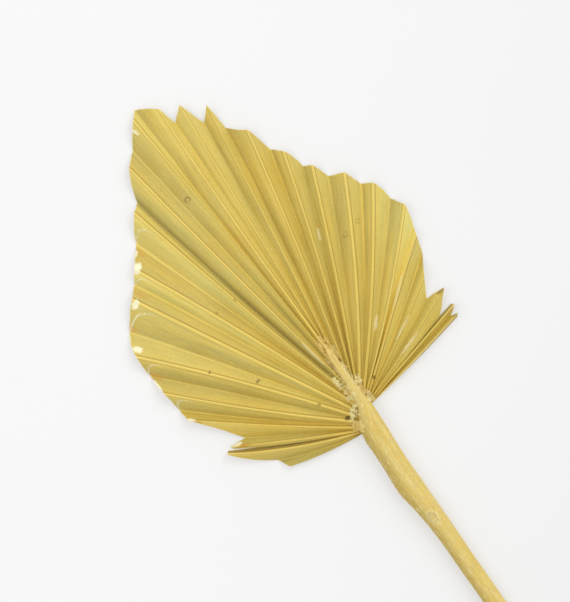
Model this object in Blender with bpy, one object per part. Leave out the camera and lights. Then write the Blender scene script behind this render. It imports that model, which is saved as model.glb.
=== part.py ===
"""Dried fan palm leaf, trimmed to a spear shape, lying with its underside up.

The leaf is two grown pieces: the pleated blade and the stalk, which runs on over
the blade as a tapering costa.  Lengths in the tables are millimetres, measured
from the hub, where the pleats meet the stalk; +Y runs along the leaf to its tip,
+X to the right and +Z up.  The finished objects are in metres, with the origin
under the middle of the leaf, on the surface that it lies on.
"""

import bmesh
import bpy
import numpy as np

MM = 0.001

# Middle of the whole leaf, seen from above, measured from the hub.
LEAF_CENTRE = np.array([-4.0, -37.5, 0.0])

# Blade: a thin sheet folded into ridges and valleys.
SHEET_THICKNESS = 0.6
FOLD_DEPTH_AT_ROOT = 1.0
FOLD_DEPTH_OUTSIDE = 4.0
FOLD_DEEPENS_OVER = 20.0
ROOT_RAISE = 0.7
CROWN_PER_LENGTH = 0.016
# How far a root reaches in under the costa, and the least half width it keeps.
ROOT_TUCK = 1.2
ROOT_SHARE = 0.45
BLADE_ROWS = (0.0, 0.03, 0.07, 0.12, 0.18, 0.26, 0.36, 0.47, 0.58, 0.69, 0.8, 0.9, 1.0)
SPLIT_FROM_ROW = 2

# Stalk: its cross section is an oval with a flatter underside.
STALK_SIDES = 18
STALK_RINGS = 50
# Rings stand closer towards the costa's tip by this power.
RING_CROWDING = 1.6
# The oval is widest at this share of its height; the powers shape it.
SHOULDER_SHARE = 0.38
SIDE_FULLNESS = 0.8
UNDERSIDE_FLATNESS = 0.55
# Edges flatter than this, in degrees, are shaded smoothly.
SMOOTH_BELOW = 35.0

BLADE_COLOUR, BLADE_ROUGHNESS = (0.62, 0.47, 0.15), 0.55
STALK_COLOUR, STALK_ROUGHNESS = (0.70, 0.54, 0.22), 0.5

# How far a fold lies above the sheet's middle, in halves of the fold depth.  A
# lip is a free edge that lies over its neighbour, an edge lies low.  A factor
# before one in the tables makes that fold shallower or deeper.
RIDGE, VALLEY, EDGE, LIP = 1.0, -1.0, -0.9, 0.1

# One row for each fold or free edge of the blade, from the lowest left segment
# round to the lowest right one: what it is, the height along the costa where it
# starts (left or right side), the point where it was trimmed, and how far its
# middle bows to the left of a straight line.
LEFT_FOLDS = (
    (LIP, -13.3, (-44.0, -7.0), 1.0),
    (VALLEY, -13.05, (-47.0, -1.5), 1.4),
    (RIDGE, -12.8, (-64.0, 13.4), 1.9),
    (EDGE, -12.55, (-63.2, 14.6), 0.4),
    (LIP, -12.25, (-60.5, 14.0), 1.2),
    (RIDGE, -12.0, (-61.0, 15.6), 0.3),
    (VALLEY, -11.65, (-53.5, 15.0), 0.2),
    (RIDGE, -11.1, (-70.0, 36.0), 0.6),
    (VALLEY, -9.9, (-70.8, 42.0), 1.0),
    (RIDGE, -8.5, (-72.0, 52.0), 1.2),
    (VALLEY, -7.7, (-72.8, 62.0), 0.0),
    (RIDGE, -6.8, (-73.0, 72.5), -1.5),
    (VALLEY, -5.9, (-69.5, 83.5), -1.0),
    (RIDGE, -5.0, (-60.0, 95.0), 0.0),
    (VALLEY, -4.0, (-55.5, 100.0), -0.8),
    (RIDGE, -3.0, (-51.5, 105.5), -1.3),
    (VALLEY, -1.8, (-44.5, 114.5), -0.6),
    (RIDGE, -0.4, (-37.2, 126.3), 0.8),
    (VALLEY, 2.2, (-33.6, 129.6), 1.2),
    (RIDGE, 5.0, (-27.8, 144.0), 0.4),
    (VALLEY, 8.6, (-22.0, 150.0), 0.0),
    (0.8 * RIDGE, 13.0, (-14.0, 161.0), -0.6),
    (0.6 * VALLEY, 19.0, (-11.0, 164.5), 0.6),
    (0.6 * RIDGE, 25.2, (-1.6, 158.5), 0.8),
)
RIGHT_FOLDS = (
    (0.55 * VALLEY, 25.9, (0.8, 149.5), 0.0),
    (0.6 * RIDGE, 24.6, (7.0, 155.0), 0.0),
    (0.65 * VALLEY, 22.4, (11.5, 142.2), 0.2),
    (0.75 * RIDGE, 20.0, (17.0, 148.0), -0.8),
    (0.8 * VALLEY, 15.6, (18.3, 135.0), -0.8),
    (RIDGE, 11.5, (25.8, 128.5), -1.1),
    (VALLEY, 9.2, (29.3, 115.8), -1.0),
    (RIDGE, 7.2, (33.7, 111.3), -1.1),
    (VALLEY, 6.2, (37.2, 101.0), -0.8),
    (RIDGE, 5.0, (40.8, 99.0), -0.7),
    (VALLEY, 4.0, (44.0, 91.0), -0.9),
    (RIDGE, 3.0, (50.9, 88.0), -1.8),
    (VALLEY, 1.6, (54.3, 79.8), -1.4),
    (RIDGE, 0.4, (58.8, 77.0), -1.6),
    (VALLEY, -0.3, (61.4, 67.0), -0.9),
    (RIDGE, -1.0, (65.0, 60.8), -1.6),
    (0.3 * VALLEY, -1.3, (62.8, 50.6), 0.3),
    (RIDGE, -1.75, (61.6, 47.0), 0.4),
    (VALLEY, -2.1, (59.7, 39.0), -1.4),
    (RIDGE, -2.45, (54.0, 29.5), -0.8),
    (VALLEY, -2.8, (49.3, 20.4), -0.6),
    (RIDGE, -3.15, (58.6, 20.2), -0.6),
    (LIP, -3.45, (49.6, 10.5), 0.0),
    (EDGE, -3.8, (57.2, 12.4), 0.9),
    (RIDGE, -4.0, (58.0, 11.2), 0.1),
    (VALLEY, -4.2, (54.0, 7.8), 0.0),
    (RIDGE, -4.4, (57.0, 7.4), -0.5),
    (EDGE, -4.6, (56.2, 5.9), -0.6),
)
# The blade is split open to the left of these columns, counted from the first.
SPLIT_LEFT_OF = (4, len(LEFT_FOLDS) + 23)

# Stalk and costa: place along the leaf, middle, half width, underside and top.
STALK_STATIONS = (
    (-239.5, -1.9, 3.9, 0.0, 5.6),
    (-170.0, -2.3, 4.15, 0.0, 5.9),
    (-110.0, -2.65, 4.35, 0.0, 6.3),
    (-86.0, -2.9, 4.4, 0.0, 6.5),
    (-70.0, -3.0, 4.6, 0.0, 6.8),
    (-57.0, -3.55, 5.15, 0.0, 7.1),
    (-46.5, -4.4, 5.95, 0.0, 7.4),
    (-30.0, -4.15, 5.6, 0.0, 7.8),
    (-22.0, -3.95, 5.75, 0.1, 8.0),
    (-16.0, -3.8, 5.9, 1.3, 8.1),
    (-8.0, -2.6, 4.95, 3.2, 8.4),
    (-3.0, -0.9, 3.4, 3.4, 8.0),
    (3.0, -0.55, 2.5, 3.5, 7.1),
    (10.0, -0.55, 1.95, 3.6, 6.1),
    (17.0, -0.6, 1.8, 3.8, 5.3),
    (23.0, -0.6, 1.5, 3.9, 4.8),
    (29.5, -0.4, 0.4, 3.7, 4.2),
)


def clear_scene():
    """Remove whatever objects the scene starts with."""
    for old in list(bpy.data.objects):
        bpy.data.objects.remove(old, do_unlink=True)


def make_material(name, colour, roughness):
    """Return a Principled material of one colour."""
    material = bpy.data.materials.new(name)
    material.use_nodes = True
    shader = material.node_tree.nodes["Principled BSDF"]
    shader.inputs["Base Color"].default_value = (*colour, 1.0)
    shader.inputs["Roughness"].default_value = roughness
    shader.inputs["Metallic"].default_value = 0.0
    return material


def add_object(name, vertices, faces, material):
    """Make one object from points in millimetres from the hub."""
    places = (np.asarray(vertices) - LEAF_CENTRE) * MM
    mesh = bpy.data.meshes.new(name)
    mesh.from_pydata(places.tolist(), [], faces)
    mesh.materials.append(material)
    shell = bmesh.new()
    shell.from_mesh(mesh)
    bmesh.ops.recalc_face_normals(shell, faces=shell.faces)
    shell.to_mesh(mesh)
    shell.free()
    item = bpy.data.objects.new(name, mesh)
    bpy.context.scene.collection.objects.link(item)
    return item


def stalk_station(along):
    """Return middle, half width, underside and top of the stalk at each place.

    Each value follows a curve through the stations whose slope at a station is
    that of the line between its two neighbours.
    """
    table = np.array(STALK_STATIONS)
    places = table[:, 0]
    slopes = np.gradient(table[:, 1:], places, axis=0)
    along = np.clip(np.asarray(along, dtype=float), places[0], places[-1])
    after = np.clip(np.searchsorted(places, along), 1, len(places) - 1)
    span = (places[after] - places[after - 1])[..., None]
    part = (along - places[after - 1])[..., None] / span
    start, end = table[after - 1, 1:], table[after, 1:]
    start_slope, end_slope = slopes[after - 1] * span, slopes[after] * span
    return (
        start * (1.0 + 2.0 * part) * (1.0 - part) ** 2
        + start_slope * part * (1.0 - part) ** 2
        + end * part**2 * (3.0 - 2.0 * part)
        + end_slope * part**2 * (part - 1.0)
    )


def fold_line(side, fold, part):
    """Return points along one fold, at each part of its way from root to edge.

    The root is just under the side of the costa; the line bows sideways by a
    parabola; its height is the sheet's middle, up on a ridge, down in a valley.
    """
    kind, root_along, tip, bow = fold
    middle, half_width, _, _ = stalk_station(root_along)
    reach_in = max(half_width - ROOT_TUCK, ROOT_SHARE * half_width)
    root = np.array([middle + side * reach_in, root_along])
    run = np.array(tip) - root
    length = np.hypot(*run)
    leftwards = np.array([-run[1], run[0]]) / length
    flat = root + part[:, None] * run + 4.0 * bow * (part * (1.0 - part))[:, None] * leftwards
    deepening = 1.0 - np.exp(-part * length / FOLD_DEEPENS_OVER)
    depth = FOLD_DEPTH_AT_ROOT + (FOLD_DEPTH_OUTSIDE - FOLD_DEPTH_AT_ROOT) * deepening
    crown = CROWN_PER_LENGTH * length * np.sin(np.pi * part)
    lift = ROOT_RAISE * (1.0 - part) ** 2 + crown
    height = 0.5 * (depth + SHEET_THICKNESS) + lift + 0.5 * kind * depth
    return np.column_stack([flat, height])


def build_blade():
    """Make the pleated blade: one closed sheet, split open at two segments."""
    part = np.array(BLADE_ROWS)
    lines = [fold_line(-1.0, fold, part) for fold in LEFT_FOLDS]
    lines += [fold_line(1.0, fold, part) for fold in RIGHT_FOLDS]
    middle = np.stack(lines)
    columns, rows = middle.shape[:2]
    half = np.array([0.0, 0.0, 0.5 * SHEET_THICKNESS])
    vertices = np.concatenate([(middle + half).reshape(-1, 3), (middle - half).reshape(-1, 3)])
    under = columns * rows

    faces = []
    sides_used = {}
    for column in range(columns - 1):
        open_from = SPLIT_FROM_ROW if column + 1 in SPLIT_LEFT_OF else rows - 1
        for row in range(open_from):
            corner = column * rows + row
            patch = (corner, corner + rows, corner + rows + 1, corner + 1)
            faces.append(patch)
            faces.append(tuple(index + under for index in reversed(patch)))
            for start, end in zip(patch, patch[1:] + patch[:1]):
                sides_used.setdefault(frozenset((start, end)), []).append((start, end))
    rim = [uses[0] for uses in sides_used.values() if len(uses) == 1]
    faces += [(end, start, start + under, end + under) for start, end in rim]
    material = make_material("dry_blade", BLADE_COLOUR, BLADE_ROUGHNESS)
    return add_object("leaf_blade", vertices, faces, material)


def build_stalk():
    """Make the stalk and its costa: ovals lofted along the stations."""
    first, last = STALK_STATIONS[0][0], STALK_STATIONS[-1][0]
    spread = np.linspace(0.0, 1.0, STALK_RINGS)
    along = first + (last - first) * (1.0 - (1.0 - spread) ** RING_CROWDING)
    middle, half_width, underside, top = stalk_station(along).T
    turn = 2.0 * np.pi * (np.arange(STALK_SIDES) + 0.5) / STALK_SIDES
    across = np.sign(np.cos(turn)) * np.abs(np.cos(turn)) ** SIDE_FULLNESS
    up = np.sin(turn)
    x = middle[:, None] + half_width[:, None] * across
    y = np.repeat(along[:, None], STALK_SIDES, axis=1)
    shoulder = underside + SHOULDER_SHARE * (top - underside)
    rise = np.where(up > 0.0, (top - shoulder)[:, None], (shoulder - underside)[:, None])
    fullness = np.where(up > 0.0, 1.0, UNDERSIDE_FLATNESS)
    z = shoulder[:, None] + rise * np.sign(up) * np.abs(up) ** fullness
    vertices = np.stack([x, y, z], axis=-1).reshape(-1, 3)

    faces = [tuple(range(STALK_SIDES))]
    for ring in range(STALK_RINGS - 1):
        for side in range(STALK_SIDES):
            here = ring * STALK_SIDES + side
            beside = ring * STALK_SIDES + (side + 1) % STALK_SIDES
            faces.append((here, beside, beside + STALK_SIDES, here + STALK_SIDES))
    end = (STALK_RINGS - 1) * STALK_SIDES
    faces.append(tuple(range(end, end + STALK_SIDES)))
    material = make_material("dry_stalk", STALK_COLOUR, STALK_ROUGHNESS)
    stalk = add_object("leaf_stalk", vertices, faces, material)
    stalk.data.shade_smooth()
    stalk.data.set_sharp_from_angle(angle=np.radians(SMOOTH_BELOW))
    return stalk


clear_scene()
build_blade()
build_stalk()
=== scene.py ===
"""Dried fan palm leaf, trimmed to a spear, lying with its underside up on a pale floor.

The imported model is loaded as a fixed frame.  The blade is one pleated sheet worked
out from its fold lines, the stalk is one surface lofted along stations, and crusts
of scurf lie where the two meet.  Lengths in the tables are millimetres from the
hub, where the pleats meet the stalk: +Y runs to the leaf's tip and +Z is up.
"""

from __future__ import annotations

import logging
import math
from dataclasses import dataclass, field
from enum import Enum
from typing import Any

import bpy
import numpy as np
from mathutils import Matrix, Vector
from mathutils.bvhtree import BVHTree


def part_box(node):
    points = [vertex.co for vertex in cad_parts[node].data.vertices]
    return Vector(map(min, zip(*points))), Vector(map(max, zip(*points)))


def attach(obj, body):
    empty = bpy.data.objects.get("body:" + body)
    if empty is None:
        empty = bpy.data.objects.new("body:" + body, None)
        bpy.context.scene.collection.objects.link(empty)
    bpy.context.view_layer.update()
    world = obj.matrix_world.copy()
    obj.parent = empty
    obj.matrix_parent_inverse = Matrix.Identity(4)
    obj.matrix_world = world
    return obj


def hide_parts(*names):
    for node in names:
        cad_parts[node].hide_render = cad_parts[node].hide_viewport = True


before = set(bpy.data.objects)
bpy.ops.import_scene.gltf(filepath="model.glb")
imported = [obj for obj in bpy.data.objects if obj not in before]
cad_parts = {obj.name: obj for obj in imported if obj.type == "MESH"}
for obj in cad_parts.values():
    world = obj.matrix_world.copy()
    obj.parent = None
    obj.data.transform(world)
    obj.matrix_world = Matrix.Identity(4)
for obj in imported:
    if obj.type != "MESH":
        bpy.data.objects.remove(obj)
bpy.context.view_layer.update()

LOG = logging.getLogger("palm_leaf")
MM = 0.001
BODY = "root"
Array = np.ndarray


class FoldKind(Enum):
    """What a line of the blade is, and how far it lies above or below the sheet's middle."""

    RIDGE = 1.0
    VALLEY = -1.0
    EDGE = -0.9
    LIP = 0.1


@dataclass(frozen=True)
class Fold:
    """One fold or free edge of the blade, from the costa to the trimmed margin.

    Attributes:
        kind: Whether it is a ridge, a valley or a free edge.
        root_along: How far along the costa it starts.
        tip: The point where it was trimmed.
        bow: How far its middle bows to the left of a straight line.
        swell: How far the trimmed edge bulges out before the next fold.
        deeper: How much deeper or shallower than usual the fold is.
        dark: How strong a painted shadow lies in it, as a dark band.
        warm: How warm the sheet is up to the next fold, from 0 to 1.
        light: How much lighter the sheet is there: partly its own tone, partly painted light and shade.
    """

    kind: FoldKind
    root_along: float
    tip: tuple[float, float]
    bow: float
    swell: float = 0.0
    deeper: float = 1.0
    dark: float = 0.0
    warm: float = 0.5
    light: float = 0.0


RIDGE, VALLEY, EDGE, LIP = FoldKind.RIDGE, FoldKind.VALLEY, FoldKind.EDGE, FoldKind.LIP

# The light column is partly the strips' own tone and partly painted light and shade: strips that face
# the lamp are painted lighter, and the shadows between split segments darker.
# From the lowest left segment round to the leaf's tip.
LEFT_FOLDS = (
    Fold(LIP, -13.3, (-44.0, -7.0), 1.0, warm=0.45, light=-0.26),
    Fold(VALLEY, -13.05, (-47.0, -1.5), 1.4, swell=1.8, warm=0.55, light=-0.08),
    Fold(RIDGE, -12.8, (-64.0, 13.4), 1.9, light=-0.4),
    Fold(EDGE, -12.55, (-63.2, 14.6), 0.4, warm=0.3, light=0.17),
    Fold(LIP, -12.25, (-60.5, 14.0), 1.2, warm=0.4, light=0.02),
    Fold(RIDGE, -12.0, (-61.0, 15.6), 0.3, warm=0.3, light=-0.18),
    Fold(VALLEY, -11.65, (-53.5, 15.0), 0.2, swell=-0.8, warm=0.7, light=0.03),
    Fold(RIDGE, -11.1, (-70.0, 36.0), 0.6, warm=0.8, light=-0.1),
    Fold(VALLEY, -9.9, (-70.8, 42.0), 1.0, light=-0.08),
    Fold(RIDGE, -8.5, (-72.0, 52.0), 1.2, swell=0.3, warm=0.6, light=-0.06),
    Fold(VALLEY, -7.7, (-72.8, 62.0), 0.0, swell=0.5, warm=0.45, light=-0.14),
    Fold(RIDGE, -6.8, (-73.0, 72.5), -1.5, swell=1.0, warm=0.4, light=-0.02),
    Fold(VALLEY, -5.9, (-69.5, 83.5), -1.0, swell=0.4, warm=0.35, light=-0.08),
    Fold(RIDGE, -5.0, (-60.0, 95.0), 0.0, warm=0.45, light=-0.07),
    Fold(VALLEY, -4.0, (-55.5, 100.0), -0.8, warm=0.2, light=0.07),
    Fold(RIDGE, -3.0, (-51.5, 105.5), -1.3, warm=0.75, light=-0.08),
    Fold(VALLEY, -1.8, (-44.5, 114.5), -0.6, swell=0.7, warm=0.25, light=0.02),
    Fold(RIDGE, -0.4, (-37.2, 126.3), 0.8, warm=0.35, light=0.07),
    Fold(VALLEY, 2.2, (-33.6, 129.6), 1.2, swell=1.1, dark=1.0, warm=0.2, light=-0.07),
    Fold(RIDGE, 5.0, (-27.8, 144.0), 0.4, swell=0.2, light=-0.07),
    Fold(VALLEY, 8.6, (-22.0, 150.0), 0.0, swell=0.4, warm=0.35, light=-0.08),
    Fold(RIDGE, 13.0, (-14.0, 161.0), -0.6, deeper=0.8, warm=0.3, light=0.08),
    Fold(VALLEY, 19.0, (-11.0, 164.5), 0.6, swell=0.6, deeper=0.6, light=-0.07),
    Fold(RIDGE, 25.2, (-1.6, 158.5), 0.8, deeper=0.6, warm=0.45, light=0.05),
)
# From the leaf's tip round to the lowest right segment.
RIGHT_FOLDS = (
    Fold(VALLEY, 25.9, (0.8, 149.5), 0.0, deeper=0.55, warm=0.4, light=-0.01),
    Fold(RIDGE, 24.6, (7.0, 155.0), 0.0, deeper=0.6, warm=0.45),
    Fold(VALLEY, 22.4, (11.5, 142.2), 0.2, deeper=0.65, warm=0.55, light=-0.09),
    Fold(RIDGE, 20.0, (17.0, 148.0), -0.8, swell=0.4, deeper=0.75),
    Fold(VALLEY, 15.6, (18.3, 135.0), -0.8, swell=-0.5, deeper=0.8, warm=0.7, light=-0.1),
    Fold(RIDGE, 11.5, (25.8, 128.5), -1.1, swell=0.4, warm=0.6, light=-0.08),
    Fold(VALLEY, 9.2, (29.3, 115.8), -1.0, warm=0.6, light=-0.07),
    Fold(RIDGE, 7.2, (33.7, 111.3), -1.1, swell=1.2, light=-0.06),
    Fold(VALLEY, 6.2, (37.2, 101.0), -0.8, warm=0.4, light=-0.09),
    Fold(RIDGE, 5.0, (40.8, 99.0), -0.7, swell=0.3, light=-0.04),
    Fold(VALLEY, 4.0, (44.0, 91.0), -0.9, warm=0.55, light=-0.1),
    Fold(RIDGE, 3.0, (50.9, 88.0), -1.8, warm=0.4, light=-0.03),
    Fold(VALLEY, 1.6, (54.3, 79.8), -1.4, warm=0.45, light=-0.1),
    Fold(RIDGE, 0.4, (58.8, 77.0), -1.6, swell=0.8, warm=0.35, light=-0.01),
    Fold(VALLEY, -0.3, (61.4, 67.0), -0.9, warm=0.45, light=-0.08),
    Fold(RIDGE, -1.0, (65.0, 60.8), -1.6, swell=0.6, warm=0.25, light=0.08),
    Fold(VALLEY, -1.3, (62.8, 50.6), 0.3, deeper=0.3, warm=0.35, light=0.2),
    Fold(RIDGE, -1.75, (61.6, 47.0), 0.4, warm=0.4, light=-0.03),
    Fold(VALLEY, -2.1, (59.7, 39.0), -1.4, warm=0.55, light=-0.06),
    Fold(RIDGE, -2.45, (54.0, 29.5), -0.8, warm=0.4, light=0.03),
    Fold(VALLEY, -2.8, (49.3, 20.4), -0.6, swell=0.5, light=-0.09),
    Fold(RIDGE, -3.15, (58.6, 20.2), -0.6, warm=0.55, light=-0.06),
    Fold(LIP, -3.45, (49.6, 10.5), 0.0, warm=0.4, light=-0.08),
    Fold(EDGE, -3.8, (57.2, 12.4), 0.9, light=-0.42),
    Fold(RIDGE, -4.0, (58.0, 11.2), 0.1, warm=0.3, light=0.06),
    Fold(VALLEY, -4.2, (54.0, 7.8), 0.0, warm=0.2, light=0.02),
    Fold(RIDGE, -4.4, (57.0, 7.4), -0.5, light=-0.32),
    Fold(EDGE, -4.6, (56.2, 5.9), -0.6),
)
FOLDS = LEFT_FOLDS + RIGHT_FOLDS
# The sheet is split open in the strips that start at these folds.
SPLIT_STRIPS = (3, len(LEFT_FOLDS) + 22)

# The scar on the stalk, where a small bract broke off: its middle and its radii.
SCAR_PLACE, SCAR_RADII = (-3.9, -61.6), (1.7, 2.7)

# Stalk and costa: place along the leaf, middle, half width, underside and top.
STALK_STATIONS = (
    (-239.5, -1.9, 3.9, 0.0, 5.6),
    (-170.0, -2.3, 4.15, 0.0, 5.9),
    (-110.0, -2.65, 4.35, 0.0, 6.3),
    (-86.0, -2.9, 4.4, 0.0, 6.5),
    (-70.0, -3.0, 4.6, 0.0, 6.8),
    (-57.0, -3.55, 5.15, 0.0, 7.1),
    (-46.5, -4.4, 5.95, 0.0, 7.4),
    (-30.0, -4.15, 5.6, 0.0, 7.8),
    (-22.0, -3.95, 5.75, 0.1, 8.0),
    (-16.0, -3.8, 5.9, 1.3, 8.1),
    (-8.0, -2.6, 4.95, 3.2, 8.4),
    (-3.0, -0.9, 3.4, 3.4, 8.0),
    (3.0, -0.55, 2.5, 3.5, 7.1),
    (10.0, -0.55, 1.95, 3.6, 6.1),
    (17.0, -0.6, 1.8, 3.8, 5.3),
    (23.0, -0.6, 1.5, 3.9, 4.8),
    (29.5, -0.4, 0.4, 3.7, 4.2),
)


def hub_place() -> Array:
    """Work out where the hub is from the blade's box and the fold table.

    Returns:
        The hub in metres in the frame: the box's right and far sides less the
        table's furthest tips, on the surface that the leaf lies on.
    """
    tips = np.array([fold.tip for fold in FOLDS])
    high = np.array(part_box("leaf_blade")[1])
    return np.array([high[0] - tips[:, 0].max() * MM, high[1] - tips[:, 1].max() * MM, 0.0])


def stalk_station(along: Array) -> Array:
    """Read the stalk's sizes at places along the leaf.

    Each value follows a cubic through the stations whose slope at a station is
    that of the line between its two neighbours.

    Args:
        along: Places along the leaf.

    Returns:
        Middle, half width, underside and top, in the last axis.
    """
    table = np.array(STALK_STATIONS)
    places = table[:, 0]
    slopes = np.gradient(table[:, 1:], places, axis=0)
    along = np.clip(np.asarray(along, dtype=float), places[0], places[-1])
    after = np.clip(np.searchsorted(places, along), 1, len(places) - 1)
    span = (places[after] - places[after - 1])[..., None]
    part = (along - places[after - 1])[..., None] / span
    start, end = table[after - 1, 1:], table[after, 1:]
    start_slope, end_slope = slopes[after - 1] * span, slopes[after] * span
    return (
        start * (1.0 + 2.0 * part) * (1.0 - part) ** 2
        + start_slope * part * (1.0 - part) ** 2
        + end * part**2 * (3.0 - 2.0 * part)
        + end_slope * part**2 * (part - 1.0)
    )


def ripple(place: Array, wavelength: float, seed: int) -> Array:
    """Make smooth, repeatable unevenness between about -1 and 1.

    It is the mean of five sines whose wavelengths lie within half and twice the
    given one, each with a phase of its own.

    Args:
        place: Where to read it.
        wavelength: The middle wavelength, in the units of place.
        seed: Which ripple it is.

    Returns:
        The unevenness at each place.
    """
    source = np.random.default_rng(seed)
    lengths = wavelength * 2.0 ** source.uniform(-1.0, 1.0, 5)
    phases = source.uniform(0.0, 2.0 * np.pi, 5)
    waves = np.sin(2.0 * np.pi * place[..., None] / lengths + phases)
    return waves.mean(axis=-1) * 1.6


def lumpiness(places: Array, size: float, seed: int) -> Array:
    """Make smooth lumps between 0 and 1 from random heights on a square lattice.

    Args:
        places: Points on a flat map.
        size: The lattice's spacing, in the units of the map.
        seed: Which lumps they are.

    Returns:
        The lumps' height at each point.
    """
    lattice = np.random.default_rng(seed).uniform(0.0, 1.0, (64, 64))
    cell = np.floor(places / size).astype(int)
    part = places / size - cell
    part = part * part * (3.0 - 2.0 * part)
    x, y = np.moveaxis(cell, -1, 0)
    u, v = np.moveaxis(part, -1, 0)
    near = lattice[x % 64, y % 64] * (1.0 - u) + lattice[(x + 1) % 64, y % 64] * u
    far = lattice[x % 64, (y + 1) % 64] * (1.0 - u) + lattice[(x + 1) % 64, (y + 1) % 64] * u
    return near * (1.0 - v) + far * v


def add_piece(
    name: str,
    points: Array,
    faces: list[Array],
    maps: dict[str, Array],
    values: dict[str, Array],
    finish: bpy.types.Material,
    sharp_above: float = 50.0,
) -> bpy.types.Object:
    """Put a mesh into the scene.

    Args:
        name: The piece's name.
        points: Points in millimetres from the hub, one row each.
        faces: Tables of point numbers, a row for each face, counterclockwise from
            outside; the faces of one table have the same number of corners.
        maps: Flat maps by name, two numbers for each point.
        values: Numbers by name, one for each point.
        finish: The piece's material.
        sharp_above: The angle in degrees above which an edge looks sharp.

    Returns:
        The new object, at the origin, with its place in its mesh.
    """
    mesh = bpy.data.meshes.new(name)
    mesh.vertices.add(len(points))
    mesh.vertices.foreach_set("co", (points * MM + hub_place()).ravel())
    corners = np.concatenate([kind.ravel() for kind in faces])
    counts = np.concatenate([np.full(len(kind), kind.shape[1]) for kind in faces])
    mesh.loops.add(len(corners))
    mesh.loops.foreach_set("vertex_index", corners)
    mesh.polygons.add(len(counts))
    mesh.polygons.foreach_set("loop_start", np.cumsum(counts) - counts)
    mesh.update(calc_edges=True)
    for map_name, places in maps.items():
        layer = mesh.uv_layers.new(name=map_name)
        layer.uv.foreach_set("vector", places[corners].astype(np.float32).ravel())
    for value_name, numbers in values.items():
        held = mesh.attributes.new(value_name, "FLOAT", "POINT")
        held.data.foreach_set("value", numbers.astype(np.float32).ravel())
    mesh.validate()
    mesh.shade_smooth()
    mesh.set_sharp_from_angle(angle=math.radians(sharp_above))
    mesh.materials.append(finish)
    piece = bpy.data.objects.new(name, mesh)
    bpy.context.scene.collection.objects.link(piece)
    return piece


def sheet_faces(filled: Array) -> Array:
    """Number the faces of a closed sheet: its top, its underside and its rim.

    The top's points come first, strip by strip, and the underside's after them.
    A rim face stands on every side of a filled cell that has no filled neighbour.

    Args:
        filled: Which cells between the grid lines are there.

    Returns:
        Four point numbers for each face, counterclockwise from outside.
    """
    rows = filled.shape[1] + 1
    number = np.arange((filled.shape[0] + 1) * rows).reshape(-1, rows)
    under = number.size
    quads = np.stack([number[:-1, :-1], number[1:, :-1], number[1:, 1:], number[:-1, 1:]], -1)[filled]
    ringed = np.pad(filled, 1)
    near, far = ringed[1:-1, :-1], ringed[1:-1, 1:]
    left, right = ringed[:-1, 1:-1], ringed[1:, 1:-1]
    sides = [
        (number[:-1][far & ~near], number[1:][far & ~near]),
        (number[1:][near & ~far], number[:-1][near & ~far]),
        (number[:, 1:][right & ~left], number[:, :-1][right & ~left]),
        (number[:, :-1][left & ~right], number[:, 1:][left & ~right]),
    ]
    start = np.concatenate([pair[0] for pair in sides])
    end = np.concatenate([pair[1] for pair in sides])
    rim = np.stack([end, start, start + under, end + under], -1)
    return np.concatenate([quads, quads[:, ::-1] + under, rim])


@dataclass(frozen=True)
class Value:
    """A socket that gives a number, with Python's operators as Math nodes."""

    graph: Graph
    socket: bpy.types.NodeSocket

    def _math(self, operation: str, *terms: Value | float) -> Value:
        """Add a Math node that works on these terms."""
        return self.graph.node("ShaderNodeMath", {"operation": operation}, dict(enumerate(terms)))

    def __add__(self, other: Value | float) -> Value:
        """Add."""
        return self._math("ADD", self, other)

    def __radd__(self, other: float) -> Value:
        """Add to a number."""
        return self._math("ADD", other, self)

    def __sub__(self, other: Value | float) -> Value:
        """Subtract."""
        return self._math("SUBTRACT", self, other)

    def __rsub__(self, other: float) -> Value:
        """Subtract from a number."""
        return self._math("SUBTRACT", other, self)

    def __mul__(self, other: Value | float) -> Value:
        """Multiply."""
        return self._math("MULTIPLY", self, other)

    def __rmul__(self, other: float) -> Value:
        """Multiply a number."""
        return self._math("MULTIPLY", other, self)

    def __truediv__(self, other: Value | float) -> Value:
        """Divide."""
        return self._math("DIVIDE", self, other)

    def __rtruediv__(self, other: float) -> Value:
        """Divide a number."""
        return self._math("DIVIDE", other, self)

    def __abs__(self) -> Value:
        """Drop the sign."""
        return self._math("ABSOLUTE", self)

    def at_most(self, other: Value | float) -> Value:
        """Take the lower of the two."""
        return self._math("MINIMUM", self, other)

    def at_least(self, other: Value | float) -> Value:
        """Take the higher of the two."""
        return self._math("MAXIMUM", self, other)

    def ramp(self, start: float, end: float) -> Value:
        """Run smoothly from 0 to 1, and stay level outside that run.

        Args:
            start: The value at which it is 0.
            end: The value at which it is 1, above or below start.

        Returns:
            The ramp, 3 t t - 2 t t t, t running from 0 at start to 1 at end.
        """
        ranges = {"From Min": start, "From Max": end, "To Min": 0.0, "To Max": 1.0}
        if end < start:
            ranges = {"From Min": end, "From Max": start, "To Min": 1.0, "To Max": 0.0}
        return self.graph.node(
            "ShaderNodeMapRange",
            {"interpolation_type": "SMOOTHSTEP"},
            {"Value": self, **ranges},
        )


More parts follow.
